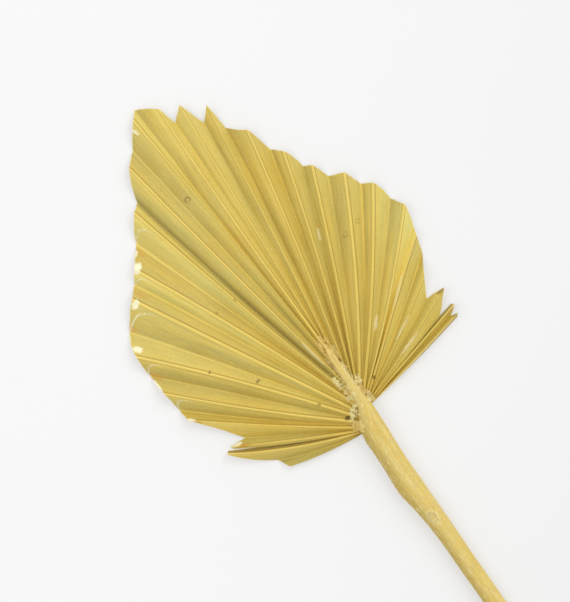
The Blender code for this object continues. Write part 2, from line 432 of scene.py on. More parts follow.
class Graph:
    """A material's nodes, made one at a time and joined by expressions."""

    def __init__(self, name: str) -> None:
        """Start a material with a Principled shader and no pattern."""
        self.material = bpy.data.materials.new(name)
        self.material.use_nodes = True
        self.nodes = self.material.node_tree.nodes
        self.links = self.material.node_tree.links
        self.shader = self.nodes["Principled BSDF"]

    def _feed(self, socket: bpy.types.NodeSocket, value: Any) -> None:
        """Link a value's socket, or set the socket's own value.

        Args:
            socket: The socket to feed.
            value: A wrapped socket, a colour of three parts or a plain value.
        """
        if isinstance(value, Value):
            self.links.new(value.socket, socket)
        elif isinstance(value, tuple) and socket.type == "RGBA":
            socket.default_value = (*value, 1.0)
        else:
            socket.default_value = value

    def node(
        self,
        kind: str,
        settings: dict[str, Any] | None = None,
        inputs: dict[str | int, Any] | None = None,
        output: str | int = 0,
    ) -> Value:
        """Add one node.

        Args:
            kind: The node's type.
            settings: What is set on the node itself, before its sockets.
            inputs: Values or links of its sockets, by name or number.
            output: The socket to read.

        Returns:
            The output socket, wrapped.
        """
        made = self.nodes.new(kind)
        for key, value in (settings or {}).items():
            setattr(made, key, value)
        for key, value in (inputs or {}).items():
            self._feed(made.inputs[key], value)
        return Value(self, made.outputs[output])

    def attribute(self, name: str) -> Value:
        """Read a number held on the mesh."""
        return self.node("ShaderNodeAttribute", {"attribute_name": name}, output="Fac")

    def flat_map(self, name: str) -> Value:
        """Read a flat map held on the mesh."""
        return self.node("ShaderNodeUVMap", {"uv_map": name})

    def own_place(self) -> Value:
        """Read the place on the piece."""
        return self.node("ShaderNodeTexCoord", output="Object")

    def stretched(self, vector: Value, scale: tuple[float, float, float]) -> Value:
        """Multiply a vector's parts."""
        return self.node(
            "ShaderNodeVectorMath", {"operation": "MULTIPLY"}, {0: vector, 1: scale}
        )

    def noise(self, vector: Value, scale: float, detail: float = 3.0, rough: float = 0.5) -> Value:
        """Read cloudy noise, about 0 to 1."""
        sockets = {"Vector": vector, "Scale": scale, "Detail": detail, "Roughness": rough}
        return self.node("ShaderNodeTexNoise", {"noise_dimensions": "3D"}, sockets)

    def oval(
        self, vector: Value, middle: tuple[float, float], radii: tuple[float, float], turn: float
    ) -> Value:
        """Measure how far a vector is from an oval's middle.

        Args:
            vector: The place to measure from, in metres in the frame.
            middle: The oval's middle, in millimetres from the hub.
            radii: Its half length and half width, in millimetres.
            turn: The direction of its length from +X, in radians.

        Returns:
            The distance, 0 in the middle and 1 on the rim.
        """
        hub = hub_place()
        sockets = {
            "Vector": vector,
            "Location": (hub[0] + middle[0] * MM, hub[1] + middle[1] * MM, 0.0),
            "Rotation": (0.0, 0.0, turn),
            "Scale": (radii[0] * MM, radii[1] * MM, 1.0),
        }
        inside = self.node("ShaderNodeMapping", {"vector_type": "TEXTURE"}, sockets)
        return self.node("ShaderNodeVectorMath", {"operation": "LENGTH"}, {0: inside}, "Value")

    def grey(self, level: Value) -> Value:
        """Make a grey of this level."""
        return self.node("ShaderNodeCombineColor", {}, {0: level, 1: level, 2: level})

    def blend(self, share: Value | float, first: Any, second: Any, how: str = "MIX") -> Value:
        """Blend two colours."""
        settings = {"data_type": "RGBA", "blend_type": how, "clamp_factor": True}
        return self.node("ShaderNodeMix", settings, {0: share, 6: first, 7: second}, 2)

    def bump(self, height: Value, strength: float, reach: float) -> Value:
        """Turn a height in units of reach, in metres, into a normal."""
        sockets = {"Height": height, "Strength": strength, "Distance": reach}
        return self.node("ShaderNodeBump", {}, sockets)

    def finish(self, fixed: dict[str, Any], varied: dict[str, Value]) -> bpy.types.Material:
        """Set the shader's own sockets and link the patterns.

        Args:
            fixed: Socket values that are the same all over.
            varied: Socket values that change over the surface.

        Returns:
            The finished material.
        """
        for key, value in {**fixed, **varied}.items():
            self._feed(self.shader.inputs[key], value)
        return self.material


def shade(red: int, green: int, blue: int) -> tuple[float, float, float]:
    """Turn a screen colour, 0 to 255, into the light that a shader works with."""
    parts = [part / 255.0 for part in (red, green, blue)]
    return tuple(part / 12.92 if part <= 0.04045 else ((part + 0.055) / 1.055) ** 2.4 for part in parts)


class Mark(Enum):
    """A small mark's look."""

    RING = "ring"
    FLECK = "fleck"
    # Bleached skin with a painted highlight.
    CREAM = "cream"
    AMBER = "amber"
    # A painted shadow.
    SHADE = "shade"


@dataclass(frozen=True)
class SheetMark:
    """A small mark on the dried sheet.

    Attributes:
        mark: Its look.
        place: Its middle, in millimetres from the hub.
        radii: Half its length and half its width, in millimetres.
        turn: The direction of its length, in degrees from +X.
        strength: How strongly it covers the sheet.
    """

    mark: Mark
    place: tuple[float, float]
    radii: tuple[float, float]
    turn: float = 0.0
    strength: float = 0.6


# Flecks, rings and amber patches are the sheet's own; the cream patches are bleached skin with painted
# highlights, and the shade marks are painted shadows.
MARKS_AND_PAINTED_LIGHT = (
    SheetMark(Mark.RING, (-14.1, 117.8), (1.2, 1.2), 0.0, 0.6),
    SheetMark(Mark.RING, (43.6, 66.7), (1.0, 1.0), 0.0, 0.3),
    SheetMark(Mark.RING, (35.4, 64.9), (1.3, 0.9), 40.0, 0.4),
    SheetMark(Mark.FLECK, (-49.7, 48.4), (1.0, 0.6), 40.0),
    SheetMark(Mark.FLECK, (-34.2, 32.8), (1.5, 0.8), 10.0),
    SheetMark(Mark.FLECK, (-22.1, 68.7), (0.9, 0.5), 100.0, 0.45),
    SheetMark(Mark.FLECK, (-32.1, 68.5), (1.0, 0.6), 110.0, 0.4),
    SheetMark(Mark.FLECK, (-17.5, 8.7), (1.0, 0.6), 130.0),
    SheetMark(Mark.FLECK, (9.8, 4.7), (1.2, 0.8), 60.0, 0.8),
    SheetMark(Mark.FLECK, (-10.4, -3.7), (1.5, 1.0), -20.0, 0.9),
    SheetMark(Mark.CREAM, (-50.3, 105.2), (3.0, 2.2), 40.0, 0.95),
    SheetMark(Mark.CREAM, (-60.0, 92.2), (2.6, 1.6), 30.0, 0.9),
    SheetMark(Mark.CREAM, (-71.2, 81.5), (3.2, 1.0), 62.0, 0.7),
    SheetMark(Mark.CREAM, (-70.6, 75.0), (2.6, 1.5), 130.0, 0.85),
    SheetMark(Mark.CREAM, (-72.6, 57.0), (4.4, 0.8), 96.0, 0.9),
    SheetMark(Mark.CREAM, (-16.4, 156.3), (2.8, 0.8), 112.0, 0.7),
    SheetMark(Mark.CREAM, (-46.9, 111.0), (1.7, 0.7), 45.0, 0.7),
    SheetMark(Mark.CREAM, (-69.0, 35.6), (2.4, 0.8), -38.0, 0.85),
    SheetMark(Mark.CREAM, (-58.4, 14.6), (3.2, 0.7), -8.0, 0.85),
    SheetMark(Mark.AMBER, (-67.6, 84.0), (3.2, 1.6), 120.0, 0.6),
    SheetMark(Mark.AMBER, (-45.2, 110.2), (3.2, 1.5), 110.0, 0.6),
    SheetMark(Mark.AMBER, (-56.0, 95.0), (4.5, 1.4), 115.0, 0.5),
    SheetMark(Mark.AMBER, (-70.8, 60.5), (4.0, 1.5), 125.0, 0.6),
    SheetMark(Mark.AMBER, (-55.0, 12.4), (3.0, 0.8), -25.0, 0.7),
    SheetMark(Mark.AMBER, (-67.0, 33.2), (3.0, 0.8), -40.0, 0.6),
    SheetMark(Mark.AMBER, (55.4, 9.9), (3.4, 0.8), 12.0, 0.6),
    # Painted shadows along the split segments on the right.
    SheetMark(Mark.SHADE, (56.2, 19.8), (2.8, 0.9), 10.0, 0.8),
    SheetMark(Mark.SHADE, (56.2, 7.4), (2.4, 0.5), 10.0, 0.6),
    SheetMark(Mark.CREAM, (25.7, 71.4), (3.4, 0.7), 68.0, 0.5),
    SheetMark(Mark.CREAM, (24.3, 24.4), (4.2, 0.9), 48.0, 0.45),
    SheetMark(Mark.CREAM, (31.5, 8.4), (6.0, 0.7), 19.0, 0.45),
    SheetMark(Mark.CREAM, (33.0, 15.9), (7.0, 0.6), 27.0, 0.4),
    SheetMark(Mark.CREAM, (40.5, 30.8), (8.0, 0.7), 41.0, 0.4),
    SheetMark(Mark.CREAM, (-7.0, 29.5), (7.0, 0.5), 101.0, 0.5),
)


@dataclass(frozen=True)
class PleatPatterns:
    """The noises, and the numbers held on the mesh, that the blade's colours share.

    Attributes:
        broad: Wide streaks along the pleats.
        fine: Narrow streaks.
        finest: Streaks as fine as hairs.
        cross: Marks across the pleats.
        clouds: Slow changes from place to place.
        weave: The skin's grain.
        rag: What makes a mark's rim ragged.
        facing: Above 0 on a facet that faces clockwise, below 0 on the other kind.
        leftward: 1 on the other kind.
        fall: 0 on a ridge and 1 in a valley.
        ridge: The distance from the ridge.
        valley: The distance from the valley.
        root: The distance from the fold's root.
        edge: The distance from the margin.
    """

    broad: Value
    fine: Value
    finest: Value
    cross: Value
    clouds: Value
    weave: Value
    rag: Value
    facing: Value
    leftward: Value
    fall: Value
    ridge: Value
    valley: Value
    root: Value
    edge: Value


@dataclass(frozen=True)
class BladeFinish:
    """Dried palm blade: golden straw, streaked along the pleats, satin.

    Attributes:
        straw: The cool strips and streaks.
        honey: The warm ones.
        rail: The midrib along a ridge, pale lines along the valleys and the margin, and the painted
            highlight beside a ridge.
        groove: The fine line in its middle, and the painted shade in the lines beside it.
        cream: Bleached skin, and the painted highlights on the margin's rims and in the pale patches.
        amber: The thin, warm patches near the margin.
        brown: Blemishes, the painted shadows of the shade marks and of the dark valley, and the bottoms
            of the folds at the root, browned and painted as shade.
        roughness: How matt the skin is.
    """

    straw: tuple[int, int, int] = (212, 198, 112)
    honey: tuple[int, int, int] = (213, 180, 72)
    rail: tuple[int, int, int] = (244, 218, 116)
    groove: tuple[int, int, int] = (168, 136, 60)
    cream: tuple[int, int, int] = (250, 244, 208)
    amber: tuple[int, int, int] = (206, 160, 70)
    brown: tuple[int, int, int] = (112, 88, 42)
    roughness: float = 0.5

    def _patterns(self, graph: Graph) -> PleatPatterns:
        """Make the patterns that the colours share.

        Args:
            graph: The material's nodes.

        Returns:
            The patterns.
        """
        pleats, own = graph.flat_map("pleats"), graph.own_place()
        facing = graph.attribute("facing")

        def streaks(per_fold: float, per_length: float) -> Value:
            """Draw noise out along the pleats, so many streaks to a fold and a millimetre."""
            drawn_out = graph.stretched(pleats, (per_fold, per_length, 1.0))
            return graph.noise(drawn_out, 1.0, 3.0, 0.6)

        return PleatPatterns(
            broad=streaks(2.2, 0.018),
            fine=streaks(17.0, 0.06),
            finest=streaks(46.0, 0.12),
            cross=graph.noise(graph.stretched(pleats, (1.2, 1.6, 1.0)), 1.0, 4.0),
            clouds=graph.noise(own, 38.0, 4.0),
            weave=graph.noise(own, 900.0, 2.0, 0.7),
            rag=graph.noise(own, 600.0, 2.0),
            facing=facing,
            leftward=facing.ramp(0.15, -0.5),
            fall=graph.attribute("fall"),
            ridge=graph.attribute("ridge_gap"),
            valley=graph.attribute("valley_gap"),
            root=graph.attribute("root"),
            edge=graph.attribute("edge"),
        )

    def _skin(self, graph: Graph, on: PleatPatterns) -> Value:
        """Colour the bare skin.

        Its warmth and its lightness are those of the strip plus a share of each
        noise, the strip's lightness partly painted light and shade. A painted highlight lies
        beside a ridge on the facets that face left, each facet is painted lighter at its crest
        and darker towards its valley, and painted shadow darkens the dark valley.

        Args:
            graph: The material's nodes.
            on: The shared patterns.

        Returns:
            The colour.
        """
        straw, honey = shade(*self.straw), shade(*self.honey)
        warmth = graph.attribute("warm") + (on.clouds - 0.5) * 0.9 + (on.broad - 0.5) * 1.1
        ground = graph.blend(warmth.at_least(0.0).at_most(1.0), straw, honey)
        # Painted highlight: paler beside a ridge on the facets that face left.
        beside_ridge = on.ridge.ramp(0.9, 1.7) * on.ridge.ramp(4.6, 2.2)
        pale = beside_ridge * on.leftward * on.root.ramp(12.0, 40.0) * on.broad.ramp(0.3, 0.6)
        ground = graph.blend(pale * 0.25, ground, shade(*self.rail))

        # The strip's lightness is partly painted light and shade; each facet is painted lighter at its
        # crest and darker towards its valley.
        light = 1.0 + 1.3 * graph.attribute("light")
        light = light + (0.45 - on.fall) * (0.08 + 0.16 * on.leftward)
        light = light + (on.broad - 0.5) * 0.45
        light = light + (on.fine - 0.5) * 0.42 + (on.finest - 0.5) * 0.36
        light = light + (on.cross - 0.5) * 0.12 + (on.weave - 0.5) * 0.18
        light = light + on.valley.ramp(1.1, 0.1) * 0.06
        # Painted light at the roots of the facets that face clockwise; then painted shadow darkens and
        # browns the dark valley.
        light = light * (1.0 + 0.08 * on.root.ramp(60.0, 20.0) * on.facing.ramp(-0.2, 0.4))
        light = light * (1.0 - 0.26 * graph.attribute("shade"))
        ground = graph.blend(1.0, ground, graph.grey(light), "MULTIPLY")
        return graph.blend(graph.attribute("shade") * 0.25, ground, shade(*self.brown))

    def _folds(self, graph: Graph, on: PleatPatterns, ground: Value, rails: Value) -> Value:
        """Lay creases, midribs, the painted shade beside the ridges and the brown fold bottoms at the
        root, partly painted shade, over the skin.

        Args:
            graph: The material's nodes.
            on: The shared patterns.
            ground: The skin's colour.
            rails: The mask of the midribs.

        Returns:
            The colour.
        """
        crease = on.valley.ramp(0.75, 0.1) * (0.25 + 0.4 * on.broad.ramp(0.4, 0.65))
        ground = graph.blend(crease, ground, shade(*self.rail))
        # Painted shade beside a ridge, strongest on the facets that face clockwise.
        beside = on.ridge.ramp(1.6, 1.15) * on.ridge.ramp(0.6, 0.95)
        beside = beside * (0.15 + 0.6 * on.facing.ramp(-0.2, 0.5))
        ground = graph.blend(beside, ground, shade(*self.groove))
        ground = graph.blend(rails, ground, shade(*self.rail))
        ground = graph.blend(on.ridge.ramp(0.14, 0.03) * 0.3, ground, shade(*self.groove))
        # Brown in the folds' bottoms near the root: browning and painted shade.
        roots = on.root.ramp(7.0, 1.0) * on.fall * (0.05 + 0.35 * on.fine)
        return graph.blend(roots, ground, shade(*self.brown))

    def _flaws_and_painted_light(self, graph: Graph, on: PleatPatterns, ground: Value, dome: Value) -> Value:
        """Lay the margin's rims, painted as highlights, and all marks, with their painted highlights
        and shadows, over the folds.

        Args:
            graph: The material's nodes.
            on: The shared patterns.
            ground: The colour so far.
            dome: The mask of the pale rims.

        Returns:
            The colour.
        """
        marks = {mark: self._marks(graph, mark, on.rag) for mark in Mark}
        # The margin's rims and the cream patches are painted highlights on partly bleached skin; the
        # shade marks are painted shadows.
        ground = graph.blend(marks[Mark.AMBER], ground, shade(*self.amber))
        ground = graph.blend(dome * 0.55, ground, shade(*self.cream))
        ground = graph.blend(on.edge.ramp(0.5, 0.1) * 0.3, ground, shade(*self.rail))
        ground = graph.blend(marks[Mark.CREAM], ground, shade(*self.cream))
        dark = marks[Mark.FLECK] + marks[Mark.RING] + marks[Mark.SHADE] * 0.7
        return graph.blend(dark.at_most(1.0), ground, shade(*self.brown))

    def _marks(self, graph: Graph, mark: Mark, rag: Value) -> Value:
        """Sum the masks of the marks of one look: rings or ragged spots.

        Args:
            graph: The material's nodes.
            mark: Which look.
            rag: The noise that makes their rims ragged.

        Returns:
            The mask, 1 where a mark covers the sheet.
        """
        flat = graph.stretched(graph.own_place(), (1.0, 1.0, 0.0))
        shapes = []
        for spot in (spot for spot in MARKS_AND_PAINTED_LIGHT if spot.mark is mark):
            away = graph.oval(flat, spot.place, spot.radii, math.radians(spot.turn))
            if mark is Mark.RING:
                rim = abs(away - 1.0 + (rag - 0.5) * 0.6)
                shape = rim.ramp(0.42, 0.1) * rag.ramp(0.3, 0.55)
            else:
                shape = (away + (rag - 0.5) * 0.9).ramp(1.15, 0.6)
            shapes.append(shape * spot.strength)
        return sum(shapes).at_most(1.0)

    def _dome(self, graph: Graph, on: PleatPatterns) -> Value:
        """Mask the painted highlight on the rim that arches over a facet's end.

        From the valley at the margin it curves towards the ridge: its distance
        from the margin is 0.4 + 2.2 (1 - f) / f, f running from 0 on the ridge
        to 1 in the valley.

        Args:
            graph: The material's nodes.
            on: The shared patterns.

        Returns:
            The mask, 1 on the rim.
        """
        share = on.fall.at_least(0.06)
        away = abs(on.edge - 0.4 - 2.2 * (1.0 - share) / share)
        rim = (away / (1.0 + 0.22 / (share * share))).ramp(0.42, 0.1)
        worn = on.edge.ramp(15.0, 4.0) * (0.15 + 0.85 * on.cross.ramp(0.35, 0.6))
        # Painted highlight, only on the facets that face left.
        return rim * graph.attribute("dome") * on.leftward * worn

    def material(self) -> bpy.types.Material:
        """Build the material.

        Returns:
            The material, for a mesh with the numbers that Blade gives.
        """
        graph = Graph("dry_blade")
        on = self._patterns(graph)
        rails = on.ridge.ramp(0.8, 0.35) * (0.7 + 0.3 * on.fine.ramp(0.3, 0.6))
        dome = self._dome(graph, on)
        ground = self._folds(graph, on, self._skin(graph, on), rails)
        ground = self._flaws_and_painted_light(graph, on, ground, dome)
        height = on.fine * 0.5 + on.finest * 0.35 + on.cross * 0.25 + on.weave * 0.2
        height = height + dome * 1.2 + rails * 0.4
        rough = self.roughness + (on.fine - 0.5) * 0.25 - rails * 0.08
        fixed = {"Metallic": 0.0, "Specular IOR Level": 0.4, "IOR": 1.45}
        bump = graph.bump(height, 0.6, 0.00025)
        return graph.finish(fixed, {"Base Color": ground, "Roughness": rough, "Normal": bump})


@dataclass(frozen=True)
class StalkFinish:
    """Dried stalk: pale straw, mottled, with fine fibres and an olive left flank, partly painted shade.

    Attributes:
        cream: Flecks of bleached skin.
        pale: The top.
        honey: The warm bands along it.
        olive: The flank, partly painted shade, the mottling and the scar's hollow.
        brown: Specks and the scar.
        roughness: How matt the skin is.
    """

    cream: tuple[int, int, int] = (240, 228, 172)
    pale: tuple[int, int, int] = (224, 201, 124)
    honey: tuple[int, int, int] = (216, 187, 98)
    olive: tuple[int, int, int] = (194, 168, 86)
    brown: tuple[int, int, int] = (128, 98, 50)
    roughness: float = 0.58

    def material(self) -> bpy.types.Material:
        """Build the material.

        Bands and mottling run along the stalk, its left flank is olive with pale
        flecks, and the scar and brown specks are laid over them.

        Returns:
            The material, for a mesh with the numbers that Stalk gives.
        """
        graph = Graph("dry_stalk")
        wrap = graph.flat_map("wrap")
        own = graph.own_place()
        fibres = graph.noise(graph.stretched(wrap, (16.0, 0.09, 1.0)), 1.0, 4.0, 0.65)
        bands = graph.noise(graph.stretched(wrap, (2.2, 0.03, 1.0)), 1.0, 3.0)
        specks = graph.noise(graph.stretched(wrap, (12.0, 0.7, 1.0)), 1.0, 2.0)
        mottle = graph.noise(graph.stretched(wrap, (3.6, 0.34, 1.0)), 1.0, 4.0, 0.62)
        flaws = graph.noise(graph.stretched(wrap, (6.0, 0.15, 1.0)), 1.0, 4.0, 0.65)
        grain = graph.noise(own, 1100.0, 2.0, 0.7)
        flank = graph.attribute("flank")

        # The skin, from bands, mottling and fibres; the olive left flank is partly painted shade.
        warm = (bands * 0.6 + mottle * 0.4).ramp(0.4, 0.6)
        ground = graph.blend(warm, shade(*self.pale), shade(*self.honey))
        shaded = (flank + (mottle - 0.5) * 0.9 + (fibres - 0.5) * 0.4).ramp(0.1, 0.95)
        ground = graph.blend(shaded, ground, shade(*self.olive))
        light = 0.97 + (fibres - 0.5) * 0.5 + (mottle - 0.5) * 0.6 + (grain - 0.5) * 0.35
        ground = graph.blend(1.0, ground, graph.grey(light), "MULTIPLY")
        flecks = flaws.ramp(0.5, 0.66) * (0.3 + 0.7 * flank.ramp(0.0, 0.5)) * mottle.ramp(0.35, 0.6)
        ground = graph.blend(flecks * 0.6, ground, shade(*self.cream))

        # The scar: a brown rim round an olive hollow, in a pale patch.
        flat = graph.stretched(own, (1.0, 1.0, 0.0))
        away = graph.oval(flat, SCAR_PLACE, SCAR_RADII, 0.2) + (flaws - 0.5) * 1.6
        upper = graph.attribute("upper")
        rim = abs(away - 0.9).ramp(0.3, 0.05) * upper
        hollow = away.ramp(0.8, 0.3) * upper
        ground = graph.blend(away.ramp(2.0, 0.9) * upper * 0.4, ground, shade(*self.cream))
        ground = graph.blend(hollow * 0.5, ground, shade(*self.olive))
        ground = graph.blend(rim * specks.ramp(0.4, 0.6) * 0.5, ground, shade(*self.brown))
        ground = graph.blend(specks.ramp(0.68, 0.78) * 0.45, ground, shade(*self.brown))
        rough = self.roughness + (fibres - 0.5) * 0.3
        fixed = {"Metallic": 0.0, "Specular IOR Level": 0.35, "IOR": 1.45}
        height = fibres * 0.6 + mottle * 0.6 + grain * 0.3 + rim * 0.8 - hollow * 0.8
        bump = graph.bump(height, 0.6, 0.00025)
        return graph.finish(fixed, {"Base Color": ground, "Roughness": rough, "Normal": bump})


@dataclass(frozen=True)
class ScurfFinish:
    """Crusts of dried scurf: whitish cream to tan, flecked dark, chalky.

    Attributes:
        cream: The fresh crusts.
        tan: The old ones.
        dark: Pits and grains.
    """

    cream: tuple[int, int, int] = (238, 228, 168)
    tan: tuple[int, int, int] = (226, 200, 122)
    dark: tuple[int, int, int] = (140, 116, 62)

    def material(self) -> bpy.types.Material:
        """Build the material.

        Returns:
            The material, for a mesh with the numbers that Scurf gives.
        """
        graph = Graph("hub_scurf")
        own = graph.own_place()
        grain = graph.noise(own, 1500.0, 3.0, 0.7)
        patches = graph.noise(own, 620.0, 3.0)
        age = (graph.attribute("age") + (patches - 0.45) * 1.8).ramp(0.1, 0.9)
        ground = graph.blend(age, shade(*self.cream), shade(*self.tan))
        ground = graph.blend(graph.attribute("pit") * 0.6, ground, shade(*self.dark))
        ground = graph.blend(grain.ramp(0.56, 0.74) * 0.4, ground, shade(*self.dark))
        bump = graph.bump(grain * 0.6 + patches * 0.6, 0.8, 0.0003)
        varied = {"Base Color": ground, "Roughness": 0.75 + grain * 0.2, "Normal": bump}
        return graph.finish({"Metallic": 0.0}, varied)


@dataclass
class Blade:
    """The pleated blade: one thin sheet folded into ridges and valleys.

    Attributes:
        thickness: The sheet's thickness.
        cad_thickness: The thickness of the solid that the sheet stands for.
        depth_at_root: How far a ridge stands above a valley at the costa.
        depth_outside: The same, far out.
        deepens_over: The distance in which most of that depth is gained.
        root_raise: How far the sheet's roots stand off the floor.
        crown_per_length: How far a fold's middle arches up, for its length.
        root_tuck: How far the sheet reaches in under the costa.
        root_share: The least share of the costa's half width that a root keeps.
        sway: How far a fold line wavers up and down.
        crest_half_width: Half the width of the midrib on a ridge.
        crest_height: How far the midrib stands out.
        ragged: How far the trimmed edge is uneven.
        rows: How many grid lines cross the folds.
        steps: How many cells a strip between two folds has.
        split_from: How far from the root the two splits begin.
        domed: The first and last strip of the left margin, whose ends are domed.
    """

    thickness: float = 0.45
    cad_thickness: float = 0.6
    depth_at_root: float = 1.0
    depth_outside: float = 4.0
    deepens_over: float = 20.0
    root_raise: float = 0.7
    crown_per_length: float = 0.016
    root_tuck: float = 1.2
    root_share: float = 0.45
    sway: float = 0.22
    crest_half_width: float = 0.55
    crest_height: float = 0.22
    ragged: float = 0.25
    rows: int = 92
    steps: int = 10
    split_from: float = 3.6
    domed: tuple[int, int] = (8, 17)
    finish: BladeFinish = field(default_factory=BladeFinish)

    def fold_lines(self) -> tuple[Array, Array, Array]:
        """Work out the fold lines.

        A line runs from just under the costa's side to its tip and bows sideways
        by a parabola.  Its height is the sheet's middle, arched by half a sine,
        plus or minus half the depth, which grows as one minus an exponential.
        Away from its root it also wavers a little.

        Returns:
            Points of each line, how far each lies from the root, and how far
            each lies from the trimmed edge.
        """
        part = 1.0 - (1.0 - np.linspace(0.0, 1.0, self.rows)) ** 1.5
        side = np.repeat([-1.0, 1.0], [len(LEFT_FOLDS), len(RIGHT_FOLDS)])
        starts = np.array([fold.root_along for fold in FOLDS])
        kinds = np.array([fold.kind.value * fold.deeper for fold in FOLDS])[:, None]
        bows = np.array([fold.bow for fold in FOLDS])
        middle, half_width = stalk_station(starts)[:, :2].T
        reach_in = np.maximum(half_width - self.root_tuck, self.root_share * half_width)
        roots = np.column_stack([middle + side * reach_in, starts])
        run = np.array([fold.tip for fold in FOLDS]) - roots
        length = np.hypot(run[:, 0], run[:, 1])[:, None]
        leftwards = np.column_stack([-run[:, 1], run[:, 0]]) / length
        arc = 4.0 * part * (1.0 - part)
        sideways = (bows[:, None] * arc)[..., None] * leftwards[:, None]
        flat = roots[:, None] + part[:, None] * run[:, None] + sideways
        away = part * length
        depth = self.depth_outside - self.depth_at_root
        depth = self.depth_at_root + depth * (1.0 - np.exp(-away / self.deepens_over))
        lift = self.root_raise * (1.0 - part) ** 2
        lift = lift + self.crown_per_length * length * np.sin(np.pi * part)
        sway = np.stack([ripple(line, 46.0, 40 + index) for index, line in enumerate(away)])
        sway = self.sway * sway * (1.0 - np.exp(-away / 25.0))
        height = 0.5 * (depth + self.cad_thickness) + lift + 0.5 * kinds * depth + sway
        return np.concatenate([flat, height[..., None]], axis=2), away, length - away

    def strips(self) -> tuple[Array, dict[str, Array], Array]:
        """Fill the strips between the folds with a fine grid.

        Across a strip the sheet falls from its crest to its valley by
        r (1 - b) + b r r, r running from 0 on the crest to 1 in the valley, with
        b = -0.1 on a facet that faces clockwise and 0.15 on one that faces the
        other way.  Along the crest runs a rounded midrib.

        Returns:
            The sheet's middle points, numbers for each point by name, and the
            flat map of the pleats.
        """
        lines, away, inward = self.fold_lines()
        kinds = [fold.kind for fold in FOLDS]
        crest_first = np.array([one.value > other.value for one, other in zip(kinds, kinds[1:])])
        crest_first = crest_first[:, None, None]
        one, other = lines[:-1], lines[1:]
        width = np.hypot(*(other - one)[..., :2].transpose(2, 0, 1))[:, None]
        crest = np.clip(self.crest_half_width / np.maximum(width, 0.01), 0.05, 0.24)
        near = np.array([0.0, 0.5, 1.0, 1.45])[:, None] * crest
        rest = np.linspace(0.0, 1.0, self.steps - 2)[1:, None]
        across = np.concatenate([near, near[:, -1:] + (1.0 - near[:, -1:]) * rest], axis=1)
        fall = np.where(crest_first, across, across[:, ::-1])
        share = np.where(crest_first, fall, 1.0 - fall)
        points = one[:, None] + share[..., None] * (other - one)[:, None]
        top = np.where(crest_first, one[:, None, :, 2], other[:, None, :, 2])
        bottom = np.where(crest_first, other[:, None, :, 2], one[:, None, :, 2])
        bend = np.where(crest_first, -0.1, 0.15)
        ridged = np.array([RIDGE in pair for pair in zip(kinds, kinds[1:])])[:, None, None]
        rails = fall / crest
        relief = self.crest_height * np.exp(-((rails / 0.9) ** 2)) * np.clip(width / 3.0, 0.3, 1.0)
        drop = fall * (1.0 - bend) + bend * fall**2
        points[..., 2] = top + (bottom - top) * drop + np.where(ridged, relief, 0.0)

        edge = inward[:-1, None] + share * (inward[1:] - inward[:-1])[:, None]
        far = away[:-1, None] + share * (away[1:] - away[:-1])[:, None]
        swell = np.array([fold.swell for fold in FOLDS[:-1]])[:, None, None]
        uneven = np.stack([ripple(line, 0.6, 90 + index) for index, line in enumerate(share)])
        bulge = (swell + self.ragged * uneven) * 4.0 * share * (1.0 - share) * np.exp(-edge / 6.0)
        reach = np.maximum(np.hypot(points[..., 0], points[..., 1]), 1.0)
        points[..., :2] += (bulge / reach)[..., None] * points[..., :2]
        facing = np.where(crest_first, 1.0, -1.0) * 2.0 * np.sqrt(fall * (1.0 - fall))
        values = {
            "ridge_gap": np.where(ridged, fall * width, 9.0),
            "valley_gap": (1.0 - fall) * width,
            "fall": fall,
            "facing": facing,
            "root": far,
            "edge": edge,
        }
        columns = np.arange(len(FOLDS) - 1)[:, None, None] + share
        return points, values, np.stack([columns, far], axis=-1)

    def colour_numbers(self, values: dict[str, Array]) -> dict[str, Array]:
        """Add the numbers that only the colours need.

        Warmth and lightness differ from strip to strip, the lightness partly painted light and shade;
        shade paints a shadow into the valley that a dark band lies in, by exp(-d d / (s s)) at the
        distance d from it, and dome marks the strips whose ends are domed.

        Args:
            values: The numbers of the grid.

        Returns:
            Those numbers and the new ones.
        """
        count = len(FOLDS) - 1
        whole = np.ones_like(values["root"])
        warm = np.array([fold.warm for fold in FOLDS[:-1]])[:, None, None]
        light = np.array([fold.light for fold in FOLDS[:-1]])[:, None, None]
        dark = [max(one.dark, other.dark) for one, other in zip(FOLDS, FOLDS[1:])]
        dark = np.array(dark)[:, None, None]
        spread = np.where(values["facing"] > 0.0, 1.0, 3.2)
        first, last = self.domed
        order = np.arange(count)[:, None, None]
        dome = np.where((order >= first) & (order <= last), 1.0, 0.0)
        # Lightness per strip is partly painted light and shade, and shade is a painted shadow in the
        # dark valley.
        return {
            **values,
            "warm": warm * whole,
            "light": light * whole,
            "shade": dark * np.exp(-((values["valley_gap"] / spread) ** 2)),
            "dome": dome * whole,
        }

    def build(self) -> bpy.types.Object:
        """Make the sheet, closed all round, and put it in the blade's place.

        Returns:
            The finished piece.
        """
        points, values, pleats = self.strips()
        values = self.colour_numbers(values)

        def joined(grid: Array) -> Array:
            """Lay the strips side by side, with the line between two strips once."""
            run = grid[:, :-1].reshape(-1, *grid.shape[2:])
            return np.concatenate([run, grid[-1, -1:]])

        middle, pleats = joined(points), joined(pleats)
        values = {name: joined(numbers) for name, numbers in values.items()}
        filled = np.ones((len(middle) - 1, self.rows - 1), dtype=bool)
        for strip in SPLIT_STRIPS:
            cells = slice(strip * self.steps, (strip + 1) * self.steps)
            filled[cells] = (values["root"][cells, :-1] < self.split_from)[:1]
        half = np.array([0.0, 0.0, 0.5 * self.thickness])
        both = np.concatenate([(middle + half).reshape(-1, 3), (middle - half).reshape(-1, 3)])
        sheet = add_piece(
            "blade_sheet",
            both,
            [sheet_faces(filled)],
            {"pleats": np.tile(pleats.reshape(-1, 2), (2, 1))},
            {name: np.tile(numbers.ravel(), 2) for name, numbers in values.items()},
            self.finish.material(),
        )
        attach(sheet, BODY)
        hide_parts("leaf_blade")
        return sheet


